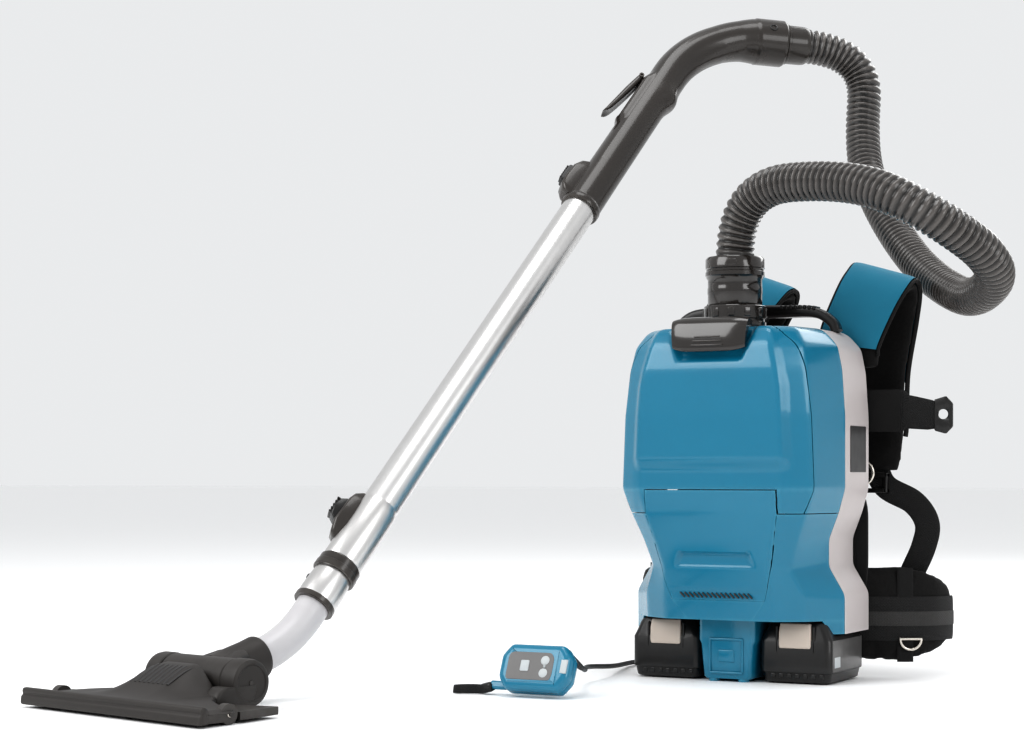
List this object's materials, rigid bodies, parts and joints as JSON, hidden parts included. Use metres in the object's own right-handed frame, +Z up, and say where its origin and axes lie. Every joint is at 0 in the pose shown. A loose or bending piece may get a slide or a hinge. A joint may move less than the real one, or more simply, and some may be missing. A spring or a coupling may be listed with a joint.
{
  "type": "backpack vacuum cleaner",
  "caption": "Cordless backpack vacuum cleaner with padded harness, ribbed hose, bent handle, telescopic tube, tilting floor head and wired remote.",
  "frame": {"origin": "on the floor under the middle foot of the centre leg, near the middle of the pack body", "axes": "+X towards the wearer's right as seen from the cover side, +Y from the cover towards the harness, +Z up"},
  "size_m": [0.76, 0.9991, 0.7474],
  "materials": {
    "teal_shell": "gloss",
    "pale_frame": "satin",
    "smoke_plastic": "gloss",
    "black_plastic": "satin",
    "key_plastic": "satin",
    "label_film": "satin",
    "remote_keys": "satin",
    "clear_hose": "ribbed, translucent",
    "tube_metal": "satin",
    "white_plastic": "gloss",
    "head_plastic": "matte",
    "bristle": "pile",
    "strap_cloth": "woven",
    "black_cloth": "woven",
    "ring_metal": "polished",
    "cable_sheath": "matte",
    "bag_paper": "nonwoven",
    "filter_media": "pleated",
    "motor_case": "matte"
  },
  "bodies": {
    "pack": {"rear_housing": "teal_shell", "side_frame": "pale_frame", "lower_panel": "teal_shell", "inlet_socket": "smoke_plastic", "dust_bag": "bag_paper", "hepa_filter": "filter_media", "motor_housing": "motor_case", "terminal_block_left": "black_plastic", "terminal_block_right": "black_plastic", "centre_leg": "teal_shell", "back_plate": "black_plastic", "carry_handle": "smoke_plastic", "rating_plate": "label_film", "shoulder_strap_left": "strap_cloth", "shoulder_strap_right": "strap_cloth", "back_pad": "black_cloth", "hip_belt_left": "black_cloth", "hip_belt_right": "black_cloth", "chest_strap": "black_cloth", "chest_buckle": "black_plastic", "remote_front": "teal_shell", "remote_rear": "teal_shell", "remote_strap": "black_cloth", "remote_cable": "cable_sheath", "cable_tail": "cable_sheath", "cable_coil": "cable_sheath", "cable_gland": "black_plastic"},
    "cover": {"front_cover": "teal_shell"},
    "latch": {"cover_latch": "smoke_plastic"},
    "fan": {"motor_fan": "black_plastic"},
    "battery_left": {"battery_left": "black_plastic"},
    "battery_right": {"battery_right": "black_plastic"},
    "battery_key_left": {"battery_button_left": "key_plastic"},
    "battery_key_right": {"battery_button_right": "key_plastic"},
    "hose_line": {"hose_cuff": "smoke_plastic", "suction_hose": "clear_hose", "hose_ferrule": "smoke_plastic"},
    "handle": {"handle_shell": "smoke_plastic", "outer_tube": "tube_metal", "tube_lock_housing": "black_plastic"},
    "flap": {"suction_flap": "smoke_plastic"},
    "tube_key": {"tube_lock_button": "smoke_plastic"},
    "slider": {"telescope_slider": "black_plastic"},
    "extension": {"inner_tube": "tube_metal", "tube_end_ring": "black_plastic", "end_stub": "tube_metal", "pipe_lock_ring": "black_plastic", "bent_pipe": "white_plastic"},
    "neck": {"neck_barrel": "head_plastic"},
    "head": {"head_sole": "head_plastic", "head_deck": "head_plastic", "front_lip": "head_plastic", "front_brush": "bristle", "rear_brush": "bristle"},
    "wheel_left": {"roller_left": "black_plastic"},
    "wheel_right": {"roller_right": "black_plastic"},
    "ring_side": {"d_ring_side": "ring_metal"},
    "ring_belt": {"d_ring_belt": "ring_metal"},
    "remote_key_power": {"remote_button_power": "remote_keys"},
    "remote_key_mode": {"remote_button_mode": "remote_keys"}
  },
  "joints": [
    {"name": "cover_hinge", "type": "hinge", "parent": "pack", "child": "cover", "pos_m": [0, -0.0685, 0.1745], "axis": [1, 0, 0], "range_deg": [0, 95]},
    {"name": "latch_hinge", "type": "hinge", "parent": "cover", "child": "latch", "pos_m": [0, -0.057, 0.3655], "axis": [-1, 0, 0], "range_deg": [0, 38]},
    {"name": "fan_spin", "type": "hinge", "parent": "pack", "child": "fan", "pos_m": [0, 0.014, 0.12], "axis": [0, 0, 1], "continuous": true},
    {"name": "battery_slide_left", "type": "slide", "parent": "pack", "child": "battery_left", "axis": [0, -1, 0], "range_m": [0, 0.085]},
    {"name": "battery_key_left", "type": "slide", "parent": "battery_left", "child": "battery_key_left", "axis": [0, 0, -1], "range_m": [0, 0.0028], "stiffness_N_per_m": 600, "springref_m": -0.0005},
    {"name": "battery_slide_right", "type": "slide", "parent": "pack", "child": "battery_right", "axis": [0, -1, 0], "range_m": [0, 0.085]},
    {"name": "battery_key_right", "type": "slide", "parent": "battery_right", "child": "battery_key_right", "axis": [0, 0, -1], "range_m": [0, 0.0028], "stiffness_N_per_m": 600, "springref_m": -0.0005},
    {"name": "inlet_swivel", "type": "hinge", "parent": "pack", "child": "hose_line", "pos_m": [0, -0.006, 0.4], "axis": [0, 0, 1], "range_deg": [-5, 5]},
    {"name": "handle_swivel", "type": "hinge", "parent": "hose_line", "child": "handle", "pos_m": [-0.09016, 0.29216, 0.72022], "axis": [0.7849, 0.6168, -0.0588], "range_deg": [-8, 8]},
    {"name": "flap_hinge", "type": "hinge", "parent": "handle", "child": "flap", "pos_m": [-0.18739, 0.16863, 0.66275], "axis": [-0.562, 0.6687, -0.4867], "range_deg": [-12, 23]},
    {"name": "tube_key", "type": "slide", "parent": "handle", "child": "tube_key", "axis": [0.8102, 0.3266, -0.4867], "range_m": [0, 0.002], "stiffness_N_per_m": 500, "springref_m": -0.0005},
    {"name": "telescope_slide", "type": "slide", "parent": "handle", "child": "extension", "axis": [-0.1665, -0.6679, -0.7254], "range_m": [0, 0.18]},
    {"name": "telescope_key", "type": "slide", "parent": "handle", "child": "slider", "axis": [0.1665, 0.6679, 0.7254], "range_m": [-0.004, 0.004], "stiffness_N_per_m": 400},
    {"name": "neck_swivel", "type": "hinge", "parent": "extension", "child": "neck", "pos_m": [-0.31649, -0.42352, 0.03812], "axis": [0.2342, 0.9415, 0.2424], "range_deg": [-25, 25]},
    {"name": "head_tilt", "type": "hinge", "parent": "neck", "child": "head", "pos_m": [-0.3282, -0.4706, 0.026], "axis": [0.9703, -0.2419, 0], "range_deg": [-50, 12]},
    {"name": "wheel_spin_left", "type": "hinge", "parent": "head", "child": "wheel_left", "pos_m": [-0.45866, -0.51434, 0.009], "axis": [0.9703, -0.2419, 0], "continuous": true},
    {"name": "wheel_spin_right", "type": "hinge", "parent": "head", "child": "wheel_right", "pos_m": [-0.23355, -0.57046, 0.009], "axis": [0.9703, -0.2419, 0], "continuous": true},
    {"name": "ring_turn_side", "type": "hinge", "parent": "pack", "child": "ring_side", "pos_m": [0.103, 0.093, 0.213], "axis": [0, 0, 1], "range_deg": [-55, 80]},
    {"name": "ring_turn_belt", "type": "hinge", "parent": "pack", "child": "ring_belt", "pos_m": [0.1521, 0.104, 0.04], "axis": [0.8575, 0.5144, 0], "range_deg": [-60, 8]},
    {"name": "remote_key_power", "type": "slide", "parent": "pack", "child": "remote_key_power", "axis": [0, 0.9135, -0.4067], "range_m": [0, 0.0009], "stiffness_N_per_m": 300, "springref_m": -0.0003},
    {"name": "remote_key_mode", "type": "slide", "parent": "pack", "child": "remote_key_mode", "axis": [0, 0.9135, -0.4067], "range_m": [0, 0.0009], "stiffness_N_per_m": 300, "springref_m": -0.0003}
  ]
}
